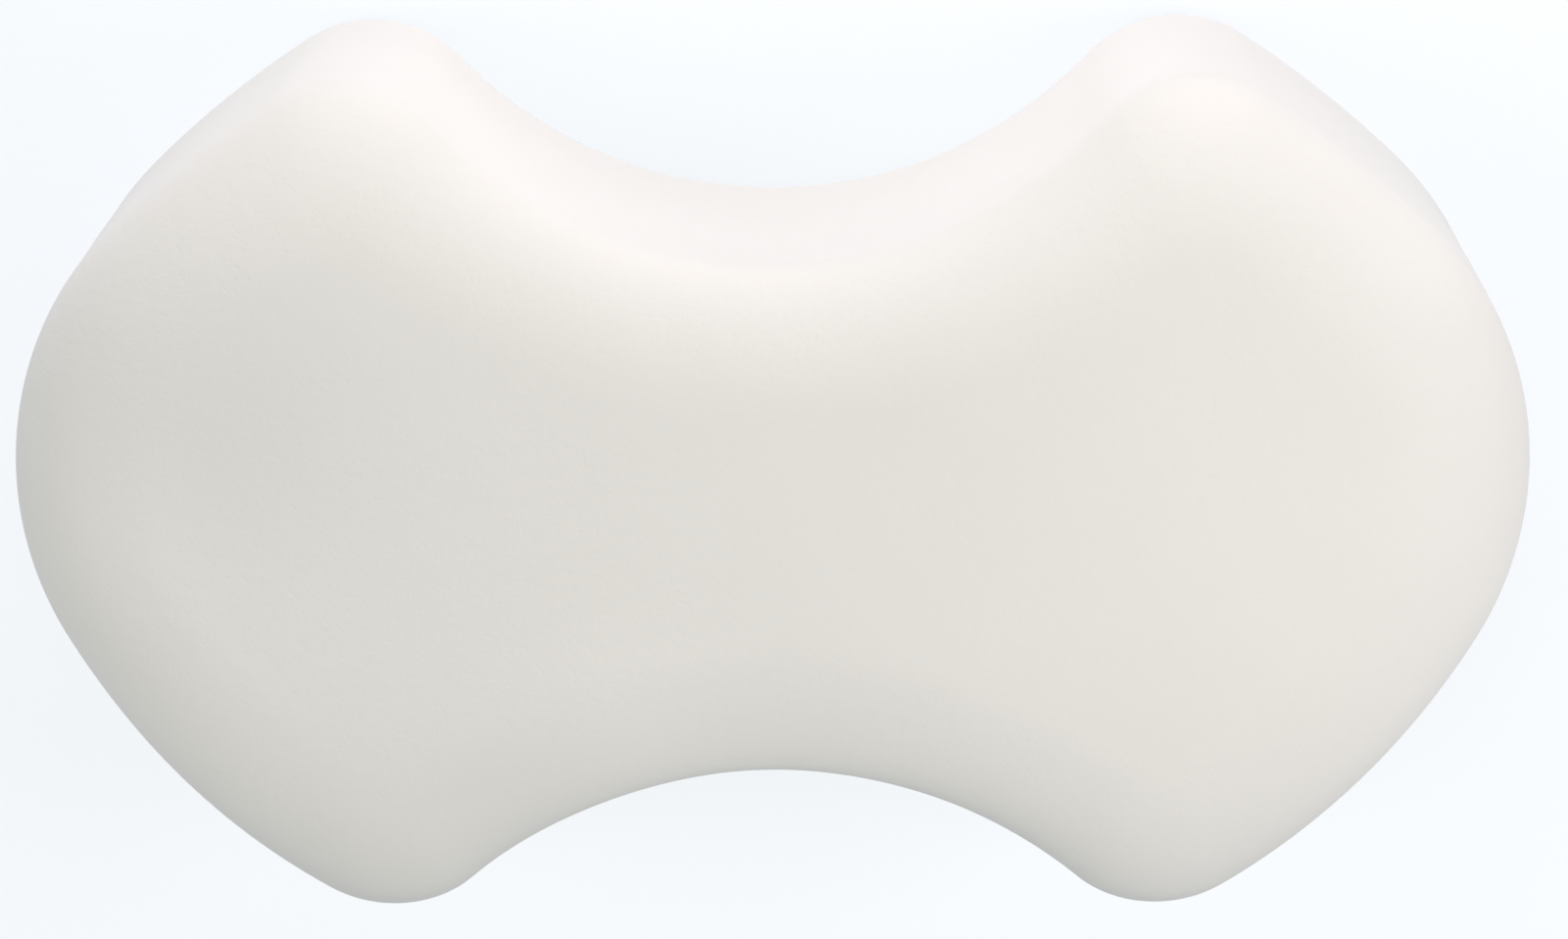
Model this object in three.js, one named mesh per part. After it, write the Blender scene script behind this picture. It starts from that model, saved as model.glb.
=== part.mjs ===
// Butterfly-shaped leg pillow: one moulded block of soft foam, lying on its flat back.
// X runs from wing to wing, +Y points to the deeper leg hollow and +Z to the crowned front.
// Millimetres. The origin is under the middle of the block, on the surface that it lies on.
import * as THREE from 'three';

// Overall size
const WING_SPAN = 350;
const THICKNESS = 120;

// Outline: each wing has a round tip, then a flank, a lobe and half of a leg hollow.
// waist is the distance from the centreline to the bottom of the hollow, and tipAngle is how far
// round the tip's arc goes before the flank takes over, in degrees.
const TIP_RADIUS = 79;
const LONG_SIDES = [
  { sign: 1, waist: 49.5, hollowRadius: 105, lobeRadius: 29, flankRadius: 250, tipAngle: 46 },
  { sign: -1, waist: 71, hollowRadius: 103, lobeRadius: 27.5, flankRadius: 196, tipAngle: 31 },
];
const LOBE_LEAST_RADIUS = 9;

// Rounded edges, front and back: how far each reaches in from the outline, and how deep
const EDGE_REACH = 34;
const EDGE_DEPTH = 14;

// Crown of the front face: how much lower it is at a wing's tip and at a lobe than in the middle,
// and the power of the distance that it falls with, so that it is flatter in the middle
const WING_DROP = 9;
const WING_FALL = 3;
const LOBE_DROP = 6;
const LOBE_FALL = 4;
const LOBE_DISTANCE = 90;

// Steps along each arc of a quarter of the outline, across each edge and over the faces
const ARC_STEPS = { hollow: 10, lobe: 6, flank: 6, tip: 5 };
const EDGE_STEPS = 9;
const FRONT_STRIPS = 8;
const BACK_STRIPS = 1;

const FOAM_COLOUR = 0xe6e2dc;
const FOAM_ROUGHNESS = 0.9;

// The lobe tightens as the outline draws in, but never to a point.
function lobeRadiusAt(radius, inset) {
  const spare = radius - LOBE_LEAST_RADIUS;
  return LOBE_LEAST_RADIUS + spare * Math.exp(-inset / spare);
}

// Where two circles meet, on the side of larger x
function outerMeeting(centreA, radiusA, centreB, radiusB) {
  const between = new THREE.Vector2().subVectors(centreB, centreA);
  const distance = between.length();
  const along = (radiusA ** 2 - radiusB ** 2 + distance ** 2) / (2 * distance);
  const across = Math.sqrt(radiusA ** 2 - along ** 2);
  const unit = between.normalize();
  const foot = centreA.clone().addScaledVector(unit, along);
  const normal = new THREE.Vector2(unit.y, -unit.x);
  normal.multiplyScalar(Math.sign(normal.x));
  return foot.addScaledVector(normal, across);
}

function arcPoints(centre, radius, startAngle, endAngle, steps) {
  const clockwise = endAngle < startAngle;
  const arc = new THREE.EllipseCurve(centre.x, centre.y, radius, radius, startAngle, endAngle, clockwise);
  return arc.getPoints(steps);
}

function angleOf(from, to) {
  return Math.atan2(to.y - from.y, to.x - from.x);
}

// A quarter of the outline as tangent arcs, drawn in by inset: from the wing's tip on the
// centreline, along the flank and round the lobe, to the bottom of the hollow at x = 0.
function quarterOutline(side, inset) {
  const tipAngle = THREE.MathUtils.degToRad(side.tipAngle);
  const tipCentre = new THREE.Vector2(WING_SPAN / 2 - TIP_RADIUS, 0);
  const flankOffset = side.flankRadius - TIP_RADIUS;
  const flankCentre = new THREE.Vector2(
    tipCentre.x - flankOffset * Math.cos(tipAngle),
    -flankOffset * Math.sin(tipAngle),
  );
  const hollowCentre = new THREE.Vector2(0, side.waist + side.hollowRadius);
  const flankRadius = side.flankRadius - inset;
  const hollowRadius = side.hollowRadius + inset;
  const lobeRadius = lobeRadiusAt(side.lobeRadius, inset);
  const lobeCentre = outerMeeting(
    flankCentre, flankRadius - lobeRadius,
    hollowCentre, hollowRadius + lobeRadius,
  );
  const lobeStart = angleOf(flankCentre, lobeCentre);
  const lobeEnd = angleOf(lobeCentre, hollowCentre);
  const hollowStart = angleOf(hollowCentre, lobeCentre);
  const arcs = [
    arcPoints(tipCentre, TIP_RADIUS - inset, 0, tipAngle, ARC_STEPS.tip),
    arcPoints(flankCentre, flankRadius, tipAngle, lobeStart, ARC_STEPS.flank),
    arcPoints(lobeCentre, lobeRadius, lobeStart, lobeEnd, ARC_STEPS.lobe),
    arcPoints(hollowCentre, hollowRadius, hollowStart, -Math.PI / 2, ARC_STEPS.hollow),
  ];
  const points = [arcs[0][0]];
  for (const arc of arcs) {
    points.push(...arc.slice(1));
  }
  return points.map((p) => new THREE.Vector2(p.x, p.y * side.sign));
}

// The whole outline, counter-clockwise from the right wing's tip
function outline(inset) {
  const [upper, lower] = LONG_SIDES.map((side) => quarterOutline(side, inset));
  const mirrored = (points) => points.map((p) => new THREE.Vector2(-p.x, p.y));
  return [
    ...upper,
    ...mirrored(upper).reverse().slice(1),
    ...mirrored(lower).slice(1),
    ...lower.slice(1, -1).reverse(),
  ];
}

// Height of the crowned front face over a point of the outline's plane
function frontHeight(point) {
  const alongWing = Math.abs(2 * point.x / WING_SPAN);
  const towardsLobe = Math.abs(point.y / LOBE_DISTANCE);
  return THICKNESS - WING_DROP * alongWing ** WING_FALL - LOBE_DROP * towardsLobe ** LOBE_FALL;
}

// Rings from the flat of the back, round the back edge, up the wall and over the front edge
function makeRings() {
  const rings = [];
  const addRing = (inset, heightAt) => {
    rings.push(outline(inset).map((p) => new THREE.Vector3(p.x, p.y, heightAt(p))));
  };
  const turns = Array.from({ length: EDGE_STEPS + 1 }, (_, step) => (Math.PI / 2) * (step / EDGE_STEPS));
  for (const turn of turns) {
    addRing(EDGE_REACH * (1 - Math.sin(turn)), () => EDGE_DEPTH * (1 - Math.cos(turn)));
  }
  for (const turn of turns) {
    addRing(EDGE_REACH * (1 - Math.cos(turn)), (p) => frontHeight(p) - EDGE_DEPTH * (1 - Math.sin(turn)));
  }
  return rings;
}

// Closes a ring by strips from each point of its upper half to the one opposite below it
function closeRing(vertices, faces, ringStart, ringSize, strips, heightAt, facesUp) {
  const half = ringSize / 2;
  const rows = [];
  for (let i = 0; i <= half; i += 1) {
    const top = ringStart + i;
    const bottom = ringStart + ((ringSize - i) % ringSize);
    const row = [top];
    for (let j = 1; j < strips; j += 1) {
      if (top === bottom) {
        row.push(top);
        continue;
      }
      const point = vertices[top].clone().lerp(vertices[bottom], j / strips);
      point.z = heightAt(point);
      row.push(vertices.push(point) - 1);
    }
    row.push(bottom);
    rows.push(row);
  }
  const addFace = (a, b, c) => {
    if (a !== b && b !== c && c !== a) {
      faces.push(facesUp ? [a, b, c] : [a, c, b]);
    }
  };
  for (let i = 0; i < half; i += 1) {
    for (let j = 0; j < strips; j += 1) {
      addFace(rows[i][j], rows[i + 1][j], rows[i + 1][j + 1]);
      addFace(rows[i][j], rows[i + 1][j + 1], rows[i][j + 1]);
    }
  }
}

function foamBlock() {
  const rings = makeRings();
  const ringSize = rings[0].length;
  const vertices = rings.flat();
  const faces = [];
  for (let ring = 0; ring < rings.length - 1; ring += 1) {
    for (let i = 0; i < ringSize; i += 1) {
      const next = (i + 1) % ringSize;
      const a = ring * ringSize + i;
      const b = ring * ringSize + next;
      faces.push([a, b, b + ringSize], [a, b + ringSize, a + ringSize]);
    }
  }
  const lastRing = (rings.length - 1) * ringSize;
  closeRing(vertices, faces, 0, ringSize, BACK_STRIPS, () => 0, false);
  closeRing(vertices, faces, lastRing, ringSize, FRONT_STRIPS, frontHeight, true);

  const geometry = new THREE.BufferGeometry().setFromPoints(vertices);
  geometry.setIndex(faces.flat());
  geometry.computeBoundingBox();
  const middle = geometry.boundingBox.getCenter(new THREE.Vector3());
  geometry.translate(0, -middle.y, 0);
  geometry.computeVertexNormals();
  return geometry;
}

const foam = new THREE.MeshStandardMaterial({
  color: FOAM_COLOUR,
  roughness: FOAM_ROUGHNESS,
  metalness: 0,
});
const kneePillow = new THREE.Mesh(foamBlock(), foam);
kneePillow.name = 'knee_pillow';

const pillow = new THREE.Group();
pillow.add(kneePillow);

export default pillow;
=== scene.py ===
"""Butterfly-shaped knee pillow of bare moulded foam, lying on its flat back on a pale floor.

The file is laid out as an add-on and is run as a script. Lengths are metres, in the frame of the
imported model: X runs from wing to wing, +Y points to the deeper leg hollow and +Z up.
"""

import math
from functools import partial
from typing import NamedTuple

import bpy
import numpy as np
from mathutils import Matrix, Vector, noise


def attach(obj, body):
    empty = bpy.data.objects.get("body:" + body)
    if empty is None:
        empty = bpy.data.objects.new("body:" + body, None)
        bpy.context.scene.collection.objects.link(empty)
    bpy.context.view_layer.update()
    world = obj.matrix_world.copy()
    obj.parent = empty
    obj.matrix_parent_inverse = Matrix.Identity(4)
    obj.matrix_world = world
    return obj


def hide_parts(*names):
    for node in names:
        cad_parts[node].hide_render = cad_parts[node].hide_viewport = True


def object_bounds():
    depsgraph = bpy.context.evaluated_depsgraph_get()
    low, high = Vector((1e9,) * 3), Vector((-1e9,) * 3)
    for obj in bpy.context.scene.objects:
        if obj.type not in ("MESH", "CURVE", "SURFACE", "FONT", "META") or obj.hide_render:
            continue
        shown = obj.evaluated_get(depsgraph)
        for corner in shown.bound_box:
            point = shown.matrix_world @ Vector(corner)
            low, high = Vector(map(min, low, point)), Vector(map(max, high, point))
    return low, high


bl_info = {
    "name": "Butterfly knee pillow",
    "version": (1, 0, 0),
    "blender": (4, 5, 0),
    "location": "View3D > Sidebar > Knee pillow",
    "description": "Makes the foam block of a butterfly-shaped knee pillow, and its stage",
    "category": "Object",
}

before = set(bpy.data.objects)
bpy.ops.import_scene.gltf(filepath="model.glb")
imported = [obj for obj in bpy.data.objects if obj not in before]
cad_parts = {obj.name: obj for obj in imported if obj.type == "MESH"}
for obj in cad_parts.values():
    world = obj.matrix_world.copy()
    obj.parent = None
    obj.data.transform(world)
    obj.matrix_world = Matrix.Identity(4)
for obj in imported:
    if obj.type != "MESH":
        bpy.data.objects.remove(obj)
CAD_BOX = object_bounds()
CAD_SIZE = CAD_BOX[1] - CAD_BOX[0]
CAD_MIDDLE = (CAD_BOX[0] + CAD_BOX[1]) / 2

NODE = "knee_pillow"
BODY = "root"


# Sizes and finishes that a user would change


def length(name, description, default):
    return bpy.props.FloatProperty(
        name=name, description=description, default=default, min=0.0, unit="LENGTH"
    )


# With a smaller power of the distance, the crown would bend sharply in its middle.
LEAST_POWER = 2.0


def power(name, description, default):
    return bpy.props.FloatProperty(
        name=name, description=description, default=default, min=LEAST_POWER
    )


def colour(name, description, default):
    return bpy.props.FloatVectorProperty(
        name=name,
        description=description,
        default=default,
        size=3,
        min=0.0,
        max=1.0,
        subtype="COLOR",
    )


def angle(name, description, degrees):
    return bpy.props.FloatProperty(
        name=name, description=description, default=math.radians(degrees), subtype="ANGLE"
    )


def long_side(class_name, waist, hollow_radius, lobe_radius, flank_radius, tip_angle):
    """The PropertyGroup of one long side of the outline, which has a leg hollow and two lobes."""
    fields = {
        "waist": length("Waist", "From the centreline to the bottom of the leg hollow", waist),
        "hollow_radius": length("Hollow radius", "Radius of the leg hollow", hollow_radius),
        "lobe_radius": length("Lobe radius", "Radius of the lobes beside the hollow", lobe_radius),
        "flank_radius": length("Flank radius", "Radius of the flanks", flank_radius),
        "tip_angle": angle("Tip angle", "How far round the wing's tip its arc goes", tip_angle),
    }
    return type(class_name, (bpy.types.PropertyGroup,), {"__annotations__": fields})


UpperSide = long_side(
    "UpperSide",
    waist=0.0495,
    hollow_radius=0.105,
    lobe_radius=0.029,
    flank_radius=0.25,
    tip_angle=46.0,
)
LowerSide = long_side(
    "LowerSide",
    waist=0.071,
    hollow_radius=0.103,
    lobe_radius=0.0275,
    flank_radius=0.196,
    tip_angle=31.0,
)


class BlockSizes(bpy.types.PropertyGroup):
    """Form of the foam block"""

    wing_span: length("Wing span", "From wing tip to wing tip", CAD_SIZE.x)
    thickness: length("Thickness", "From the flat back to the top of the crown", CAD_SIZE.z)
    tip_radius: length("Tip radius", "Round of each wing's tip", 0.079)
    upper: bpy.props.PointerProperty(type=UpperSide)
    lower: bpy.props.PointerProperty(type=LowerSide)
    least_lobe_radius: length("Least lobe radius", "Round of a lobe far in from the outline", 0.009)
    edge_reach: length("Edge reach", "How far the rounded edges reach in from the outline", 0.034)
    edge_depth: length("Edge depth", "How deep the rounded edges are", 0.014)
    wing_drop: length("Wing drop", "How much lower the front is at a wing's tip", 0.009)
    wing_fall: power("Wing fall", "Power of the distance that it falls with along a wing", 3.0)
    lobe_drop: length("Lobe drop", "How much lower the front is at a lobe", 0.006)
    lobe_fall: power("Lobe fall", "Power of the distance that it falls with to a lobe", 4.0)
    lobe_distance: length("Lobe distance", "Where the lobe drop is reached", 0.09)
    unevenness: length("Unevenness", "Height of the moulded skin's soft swells", 0.0003)
    swell_width: length("Swell width", "Width of the moulded skin's soft swells", 0.05)
    spot_height: length("Spot height", "Height of the soft rises and dips of the front", 0.0018)


class FoamFinish(bpy.types.PropertyGroup):
    """Finish of the bare moulded foam"""

    foam: colour("Foam", "Main colour of the foam", (0.80, 0.775, 0.74))
    foam_shade: colour("Foam shade", "Colour of its slightly darker patches", (0.775, 0.75, 0.712))
    patch_width: length("Patch width", "Width of the darker patches", 0.035)
    mottle_width: length("Mottle width", "Width of the skin's soft dents", 0.011)
    mottle_depth: length("Mottle depth", "Depth of the skin's soft dents", 0.00006)
    grain_width: length("Grain width", "Width of the skin's fine grain", 0.0025)
    grain_depth: length("Grain depth", "Depth of the skin's fine grain", 0.00009)
    pore_spacing: length("Pore spacing", "From one pore of the skin to the next", 0.0013)
    pore_depth: length("Pore depth", "Depth of the skin's pores", 0.000015)


class StageLook(bpy.types.PropertyGroup):
    """Colours of the floor and of the light from all round"""

    floor: colour("Floor", "Colour of the floor", (0.25, 0.25, 0.25))
    floor_glow: colour("Floor glow", "Light that the lit floor gives off", (0.712, 0.74, 0.771))
    surroundings: colour("Surroundings", "Colour of the light from all round", (0.083, 0.15, 0.193))


# The block's outline and surface


def lobe_radius_at(radius, least, inset):
    """The lobe tightens as the outline draws in, but never to a point."""
    spare = radius - least
    return least + spare * math.exp(-inset / spare)


def outer_meeting(centre_a, radius_a, centre_b, radius_b):
    """Where two circles meet, on the side of larger x"""
    between = centre_b - centre_a
    distance = between.length
    along = (radius_a**2 - radius_b**2 + distance**2) / (2 * distance)
    across = math.sqrt(radius_a**2 - along**2)
    unit = between.normalized()
    normal = Vector((unit.y, -unit.x))
    if normal.x < 0:
        normal.negate()
    return centre_a + unit * along + normal * across


def arc_points(centre, radius, start, end, steps):
    """Points along an arc, without its first one"""
    turn = np.linspace(start, end, steps + 1)[1:]
    return np.column_stack((centre.x + radius * np.cos(turn), centre.y + radius * np.sin(turn)))


def angle_from(start, end):
    return math.atan2(end.y - start.y, end.x - start.x)


# Steps along each arc of a quarter of the outline
ARC_STEPS = {"tip": 20, "flank": 26, "lobe": 28, "hollow": 40}


def quarter_outline(sizes, side, inset):
    """A quarter of the outline as tangent arcs, drawn in by inset: from the wing's tip, along the
    flank and round the lobe, to the bottom of the hollow."""
    tip_centre = Vector((sizes.wing_span / 2 - sizes.tip_radius, 0.0))
    flank_offset = side.flank_radius - sizes.tip_radius
    flank_direction = Vector((math.cos(side.tip_angle), math.sin(side.tip_angle)))
    flank_centre = tip_centre - flank_direction * flank_offset
    hollow_centre = Vector((0.0, side.waist + side.hollow_radius))
    tip_radius = sizes.tip_radius - inset
    flank_radius = side.flank_radius - inset
    hollow_radius = side.hollow_radius + inset
    lobe_radius = lobe_radius_at(side.lobe_radius, sizes.least_lobe_radius, inset)
    lobe_centre = outer_meeting(
        flank_centre, flank_radius - lobe_radius, hollow_centre, hollow_radius + lobe_radius
    )
    lobe_start = angle_from(flank_centre, lobe_centre)
    lobe_end = angle_from(lobe_centre, hollow_centre)
    hollow_start = angle_from(hollow_centre, lobe_centre)
    return np.vstack(
        (
            [[tip_centre.x + tip_radius, 0.0]],
            arc_points(tip_centre, tip_radius, 0.0, side.tip_angle, ARC_STEPS["tip"]),
            arc_points(flank_centre, flank_radius, side.tip_angle, lobe_start, ARC_STEPS["flank"]),
            arc_points(lobe_centre, lobe_radius, lobe_start, lobe_end, ARC_STEPS["lobe"]),
            arc_points(
                hollow_centre, hollow_radius, hollow_start, -math.pi / 2, ARC_STEPS["hollow"]
            ),
        )
    )


def outline(sizes, inset):
    """The whole outline, counter-clockwise from the right wing's tip"""
    upper = quarter_outline(sizes, sizes.upper, inset)
    lower = quarter_outline(sizes, sizes.lower, inset) * (1, -1)
    mirror = (-1, 1)
    return np.vstack((upper, (upper * mirror)[::-1][1:], (lower * mirror)[1:], lower[1:-1][::-1]))


class SoftSpot(NamedTuple):
    """A soft rise of the front face, or a dip where its share of the height is negative. Its y is
    measured from the line through the wings' tips."""

    x: float
    y: float
    width: float
    share: float


SOFT_SPOTS = (
    SoftSpot(x=-0.108, y=0.039, width=0.024, share=1.0),
    SoftSpot(x=-0.132, y=-0.008, width=0.024, share=-1.0),
    SoftSpot(x=-0.04, y=-0.069, width=0.018, share=0.8),
)


def front_height(sizes, points):
    """Height of the crowned front face, with its soft spots, over points of the outline's plane"""
    x, y = points.T
    along_wing = np.abs(2 * x / sizes.wing_span) ** sizes.wing_fall
    towards_lobe = np.abs(y / sizes.lobe_distance) ** sizes.lobe_fall
    height = sizes.thickness - sizes.wing_drop * along_wing - sizes.lobe_drop * towards_lobe
    for spot in SOFT_SPOTS:
        away = np.hypot(x - spot.x, y - spot.y) / spot.width
        height += sizes.spot_height * spot.share * np.exp(-(away**2) / 2)
    return height


def back_height(points):
    return np.zeros(len(points))


# Steps round each edge and up the wall, and strips across each face
BACK_EDGE_STEPS = 18
WALL_STEPS = 26
FRONT_EDGE_STEPS = 28
FRONT_STRIPS = 40
BACK_STRIPS = 12


def edge_steps(sizes, steps):
    """How far in from the outline, and how far from the face, each step round an edge lies, from
    the wall to the face"""
    for turn in np.linspace(0, math.pi / 2, steps + 1):
        yield sizes.edge_reach * (1 - math.cos(turn)), sizes.edge_depth * (1 - math.sin(turn))


def block_rings(sizes):
    """Rings from the flat of the back, round the back edge, up the wall and over the front edge"""
    rings = []
    for inset, depth in reversed(list(edge_steps(sizes, BACK_EDGE_STEPS))):
        points = outline(sizes, inset)
        rings.append(np.column_stack((points, np.full(len(points), depth))))
    wall = outline(sizes, 0.0)
    wall_top = front_height(sizes, wall) - sizes.edge_depth
    for share in np.linspace(0, 1, WALL_STEPS + 1)[1:-1]:
        height = sizes.edge_depth + (wall_top - sizes.edge_depth) * share
        rings.append(np.column_stack((wall, height)))
    for inset, depth in edge_steps(sizes, FRONT_EDGE_STEPS):
        points = outline(sizes, inset)
        rings.append(np.column_stack((points, front_height(sizes, points) - depth)))
    return rings


def close_ring(vertices, faces, first, ring_size, strips, height_at, faces_up):
    """Closes a ring by strips from each point of its upper half to the one opposite below it."""
    half = ring_size // 2
    rows = []
    for i in range(half + 1):
        top = first + i
        bottom = first + (ring_size - i) % ring_size
        if top == bottom:
            rows.append([top] * (strips + 1))
            continue
        share = np.linspace(0, 1, strips + 1)[1:-1, None]
        points = vertices[top][:2] * (1 - share) + vertices[bottom][:2] * share
        between = len(vertices) + np.arange(len(points))
        vertices.extend(np.column_stack((points, height_at(points))))
        rows.append([top, *between.tolist(), bottom])
    for row, next_row in zip(rows, rows[1:]):
        for j in range(strips):
            corners = [row[j], next_row[j], next_row[j + 1], row[j + 1]]
            face = list(dict.fromkeys(corners))
            if len(face) > 2:
                faces.append(face if faces_up else face[::-1])


def block_surface(sizes):
    """Vertices and faces of the whole block, with the outline's middle at y = 0"""
    rings = block_rings(sizes)
    ring_size = len(rings[0])
    vertices = list(np.vstack(rings))
    faces = []
    for ring in range(len(rings) - 1):
        for i in range(ring_size):
            a = ring * ring_size + i
            b = ring * ring_size + (i + 1) % ring_size
            faces.append([a, b, b + ring_size, a + ring_size])
    last = (len(rings) - 1) * ring_size
    close_ring(vertices, faces, 0, ring_size, BACK_STRIPS, back_height, faces_up=False)
    crown = partial(front_height, sizes)
    close_ring(vertices, faces, last, ring_size, FRONT_STRIPS, crown, faces_up=True)
    vertices = np.array(vertices)
    middle = (vertices[:, 1].min() + vertices[:, 1].max()) / 2
    vertices[:, 1] -= middle
    return vertices, faces


SWELL_SEED = 1


def swell(mesh, sizes):
    """Moves the skin a little by the soft swells of moulded foam. The back stays flat."""
    noise.seed_set(SWELL_SEED)
    for vertex in mesh.vertices:
        reach = sizes.unevenness * min(1.0, vertex.co.z / sizes.edge_depth)
        vertex.co += noise.noise_vector(vertex.co / sizes.swell_width) * reach


# Materials


def new_material(name):
    material = bpy.data.materials.new(name)
    material.use_nodes = True
    return material, material.node_tree.nodes, material.node_tree.links


def add_noise(nodes, links, place, width, detail):
    noise_texture = nodes.new("ShaderNodeTexNoise")
    noise_texture.inputs["Scale"].default_value = 1 / width
    noise_texture.inputs["Detail"].default_value = detail
    links.new(place, noise_texture.inputs["Vector"])
    return noise_texture.outputs["Fac"]


def add_bump(nodes, links, height, depth, normal=None):
    bump = nodes.new("ShaderNodeBump")
    bump.inputs["Distance"].default_value = depth
    links.new(height, bump.inputs["Height"])
    if normal:
        links.new(normal, bump.inputs["Normal"])
    return bump.outputs["Normal"]


FOAM_ROUGHNESS = 0.9
FOAM_SPECULAR = 0.25

# Octaves of each noise beyond its first
PATCH_DETAIL = 3.0
MOTTLE_DETAIL = 1.0
GRAIN_DETAIL = 2.0
PORE_DETAIL = 0.0

# Values of the pores' noise at the bottom of a pore and at its rim
PORE_RIM = (0.28, 0.38)


def foam_material(finish):
    """Matt off-white foam: faint patches of shade, soft dents, a fine grain and small pores"""
    material, nodes, links = new_material("moulded_foam")
    shader = nodes["Principled BSDF"]
    shader.inputs["Roughness"].default_value = FOAM_ROUGHNESS
    shader.inputs["Specular IOR Level"].default_value = FOAM_SPECULAR

    place = nodes.new("ShaderNodeTexCoord").outputs["Object"]
    patches = add_noise(nodes, links, place, finish.patch_width, PATCH_DETAIL)
    tint = nodes.new("ShaderNodeMix")
    tint.data_type = "RGBA"
    tint.inputs["A"].default_value = (*finish.foam, 1.0)
    tint.inputs["B"].default_value = (*finish.foam_shade, 1.0)
    links.new(patches, tint.inputs["Factor"])
    links.new(tint.outputs["Result"], shader.inputs["Base Color"])

    mottle = add_noise(nodes, links, place, finish.mottle_width, MOTTLE_DETAIL)
    normal = add_bump(nodes, links, mottle, finish.mottle_depth)
    grain = add_noise(nodes, links, place, finish.grain_width, GRAIN_DETAIL)
    normal = add_bump(nodes, links, grain, finish.grain_depth, normal)
    pores = add_noise(nodes, links, place, finish.pore_spacing, PORE_DETAIL)
    rim = nodes.new("ShaderNodeMapRange")
    rim.interpolation_type = "SMOOTHSTEP"
    rim.inputs["From Min"].default_value, rim.inputs["From Max"].default_value = PORE_RIM
    links.new(pores, rim.inputs["Value"])
    normal = add_bump(nodes, links, rim.outputs["Result"], finish.pore_depth, normal)
    links.new(normal, shader.inputs["Normal"])
    return material


def floor_material(look):
    """A matt floor that gives off most of the light seen on it, so that shadows hardly show"""
    material, nodes, _ = new_material("pale_floor")
    shader = nodes["Principled BSDF"]
    shader.inputs["Base Color"].default_value = (*look.floor, 1.0)
    shader.inputs["Roughness"].default_value = 1.0
    shader.inputs["Specular IOR Level"].default_value = 0.0
    shader.inputs["Emission Color"].default_value = (*look.floor_glow, 1.0)
    shader.inputs["Emission Strength"].default_value = 1.0
    material.cycles.emission_sampling = "NONE"
    return material


# The foam block


class OBJECT_OT_knee_pillow_block(bpy.types.Operator):
    """Make the pillow's foam block"""

    bl_idname = "object.knee_pillow_block"
    bl_label = "Foam block"

    def execute(self, context):
        sizes = context.scene.knee_pillow_sizes
        vertices, faces = block_surface(sizes)
        mesh = bpy.data.meshes.new("foam_block")
        mesh.from_pydata(vertices.tolist(), [], faces)
        mesh.update()
        swell(mesh, sizes)
        mesh.shade_smooth()
        mesh.materials.append(foam_material(context.scene.knee_pillow_finish))
        block = bpy.data.objects.new("foam_block", mesh)
        context.scene.collection.objects.link(block)
        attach(block, BODY)
        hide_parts(NODE)
        return {"FINISHED"}


# The stage


FLOOR_SIZE = 16.0
BACKDROP_RADIUS = 7.0
BACKDROP_COVE = 1.5
BACKDROP_HEIGHT = 6.0
BACKDROP_STEPS = 96
COVE_STEPS = 12

CAMERA_DISTANCE = 1.3
CAMERA_TILT = math.radians(13.75)
CAMERA_SWING = math.radians(0.9)
CAMERA_ROLL = math.radians(-0.44)
CAMERA_AIM = Vector((0.0024, -0.0022, 0.06))
SENSOR_WIDTH = 36.0

# The lens's focal length, in pixels of a picture that is PHOTO_WIDTH pixels wide
FOCAL_PIXELS = 5568.0
PHOTO_WIDTH = 1600

SURROUNDINGS_STRENGTH = 1.0


class Softbox(NamedTuple):
    """Degrees round from +X and up from the floor, metres, watts, and its light's colour"""

    azimuth: float
    elevation: float
    distance: float
    width: float
    power: float
    tint: tuple


WARM_WHITE = (1.0, 0.925, 0.945)
PALE_YELLOW = (1.0, 0.93, 0.66)
SOFTBOXES = {
    "key": Softbox(90, 6, distance=0.8, width=0.5, power=4.3, tint=WARM_WHITE),
    "side": Softbox(0, 42, distance=0.8, width=0.5, power=2.96, tint=WARM_WHITE),
    "fill": Softbox(180, 55, distance=1.8, width=1.2, power=11.4, tint=WARM_WHITE),
    "top": Softbox(0, 90, distance=1.8, width=1.2, power=8.2, tint=PALE_YELLOW),
}


def add_stage_piece(scene, name, vertices, faces, material):
    mesh = bpy.data.meshes.new(name)
    mesh.from_pydata(vertices, [], faces)
    mesh.shade_smooth()
    mesh.materials.append(material)
    piece = bpy.data.objects.new(name, mesh)
    scene.collection.objects.link(piece)
    return piece


def add_floor(scene, material):
    half = FLOOR_SIZE / 2
    corners = [(-half, -half, 0), (half, -half, 0), (half, half, 0), (-half, half, 0)]
    add_stage_piece(scene, "floor", corners, [(0, 1, 2, 3)], material)


def add_backdrop(scene, material):
    """A round wall that the far floor curves up into. It is seen, but lights nothing matt."""
    turn = np.linspace(0, math.pi / 2, COVE_STEPS + 1)
    radius = BACKDROP_RADIUS - BACKDROP_COVE * (1 - np.sin(turn))
    profile = [*zip(radius, BACKDROP_COVE * (1 - np.cos(turn))), (BACKDROP_RADIUS, BACKDROP_HEIGHT)]
    around = np.linspace(0, 2 * math.pi, BACKDROP_STEPS, endpoint=False)
    vertices = [(r * math.cos(a), r * math.sin(a), z) for r, z in profile for a in around]
    faces = []
    for ring in range(len(profile) - 1):
        start = ring * BACKDROP_STEPS
        for i in range(BACKDROP_STEPS):
            a, b = start + i, start + (i + 1) % BACKDROP_STEPS
            faces.append((a, b, b + BACKDROP_STEPS, a + BACKDROP_STEPS))
    backdrop = add_stage_piece(scene, "backdrop", vertices, faces, material)
    backdrop.visible_diffuse = False


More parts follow.
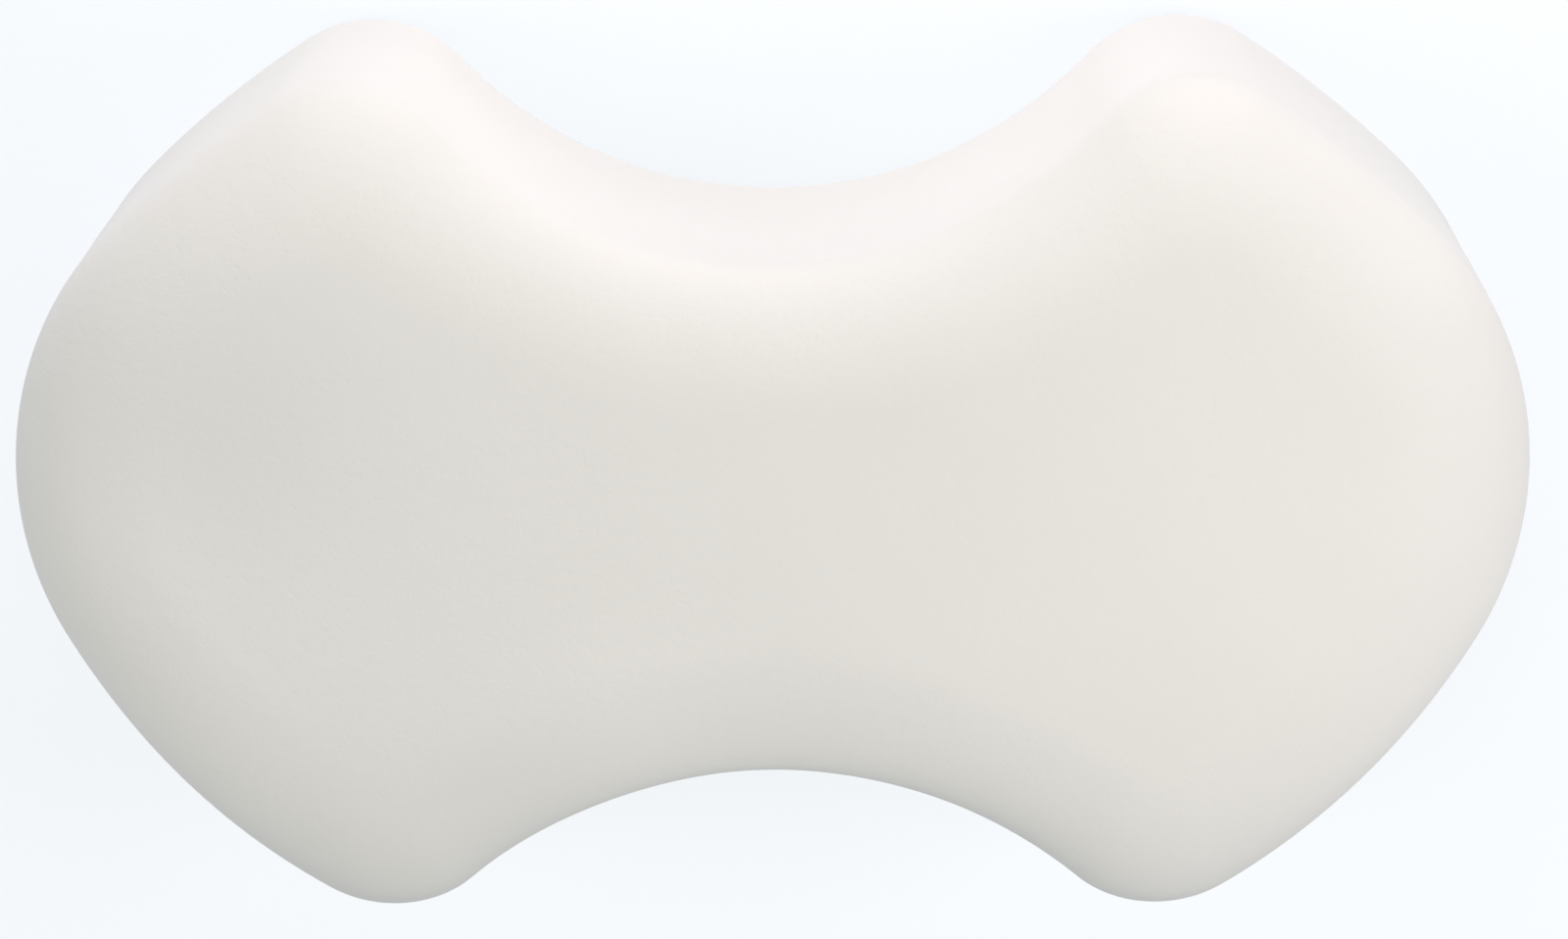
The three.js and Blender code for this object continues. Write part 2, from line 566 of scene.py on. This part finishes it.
def add_camera(scene):
    """The camera looks down on the front face, tilted from its normal towards the deeper hollow."""
    back = Vector(
        (
            math.sin(CAMERA_SWING) * math.cos(CAMERA_TILT),
            math.sin(CAMERA_TILT),
            math.cos(CAMERA_SWING) * math.cos(CAMERA_TILT),
        )
    )
    right = Vector((0, 1, 0)).cross(back).normalized()
    turn = Matrix((right, back.cross(right), back)).transposed()
    data = bpy.data.cameras.new("camera")
    data.sensor_width = SENSOR_WIDTH
    data.lens = FOCAL_PIXELS / PHOTO_WIDTH * SENSOR_WIDTH
    camera = bpy.data.objects.new("camera", data)
    camera.matrix_world = (
        Matrix.Translation(CAMERA_AIM + back * CAMERA_DISTANCE)
        @ turn.to_4x4()
        @ Matrix.Rotation(CAMERA_ROLL, 4, "Z")
    )
    scene.collection.objects.link(camera)
    scene.camera = camera


def add_softbox(scene, name, box):
    """A round softbox that faces the block's middle and isn't seen itself"""
    azimuth, elevation = math.radians(box.azimuth), math.radians(box.elevation)
    outwards = Vector(
        (
            math.cos(elevation) * math.cos(azimuth),
            math.cos(elevation) * math.sin(azimuth),
            math.sin(elevation),
        )
    )
    data = bpy.data.lights.new(name, "AREA")
    data.shape = "DISK"
    data.size = box.width
    data.energy = box.power
    data.color = box.tint
    lamp = bpy.data.objects.new(name, data)
    lamp.location = CAD_MIDDLE + outwards * box.distance
    lamp.rotation_mode = "QUATERNION"
    lamp.rotation_quaternion = outwards.to_track_quat("Z", "Y")
    lamp.visible_camera = False
    scene.collection.objects.link(lamp)


def add_surroundings(scene, look):
    world = bpy.data.worlds.new("surroundings")
    world.use_nodes = True
    background = world.node_tree.nodes["Background"]
    background.inputs["Color"].default_value = (*look.surroundings, 1.0)
    background.inputs["Strength"].default_value = SURROUNDINGS_STRENGTH
    scene.world = world


class OBJECT_OT_knee_pillow_stage(bpy.types.Operator):
    """Make the floor, the lights and the camera"""

    bl_idname = "object.knee_pillow_stage"
    bl_label = "Stage"

    def execute(self, context):
        scene = context.scene
        look = scene.knee_pillow_stage
        scene.view_settings.view_transform = "Standard"
        material = floor_material(look)
        add_floor(scene, material)
        add_backdrop(scene, material)
        add_camera(scene)
        add_surroundings(scene, look)
        for name, box in SOFTBOXES.items():
            add_softbox(scene, name, box)
        return {"FINISHED"}


def list_settings(column, settings):
    """Shows each setting of a group, and those of the groups in it."""
    for field in settings.__annotations__:
        value = getattr(settings, field)
        if isinstance(value, bpy.types.PropertyGroup):
            list_settings(column, value)
        else:
            column.prop(settings, field)


class VIEW3D_PT_knee_pillow(bpy.types.Panel):
    """Lists the pillow's operators and sizes"""

    bl_idname = "VIEW3D_PT_knee_pillow"
    bl_label = "Knee pillow"
    bl_space_type = "VIEW_3D"
    bl_region_type = "UI"
    bl_category = "Knee pillow"

    def draw(self, context):
        layout = self.layout
        for group in PROPERTIES:
            list_settings(layout.column(align=True), getattr(context.scene, group))
        for operator in OPERATORS:
            layout.operator(operator.bl_idname)


OPERATORS = (OBJECT_OT_knee_pillow_block, OBJECT_OT_knee_pillow_stage)
PROPERTIES = {
    "knee_pillow_sizes": BlockSizes,
    "knee_pillow_finish": FoamFinish,
    "knee_pillow_stage": StageLook,
}
CLASSES = (UpperSide, LowerSide, *PROPERTIES.values(), *OPERATORS, VIEW3D_PT_knee_pillow)


def register():
    for item in CLASSES:
        bpy.utils.register_class(item)
    for name, group in PROPERTIES.items():
        setattr(bpy.types.Scene, name, bpy.props.PointerProperty(type=group))


def unregister():
    for name in PROPERTIES:
        delattr(bpy.types.Scene, name)
    for item in reversed(CLASSES):
        bpy.utils.unregister_class(item)


def main():
    register()
    bpy.ops.object.knee_pillow_block()
    bpy.ops.object.knee_pillow_stage()


if __name__ == "__main__":
    main()
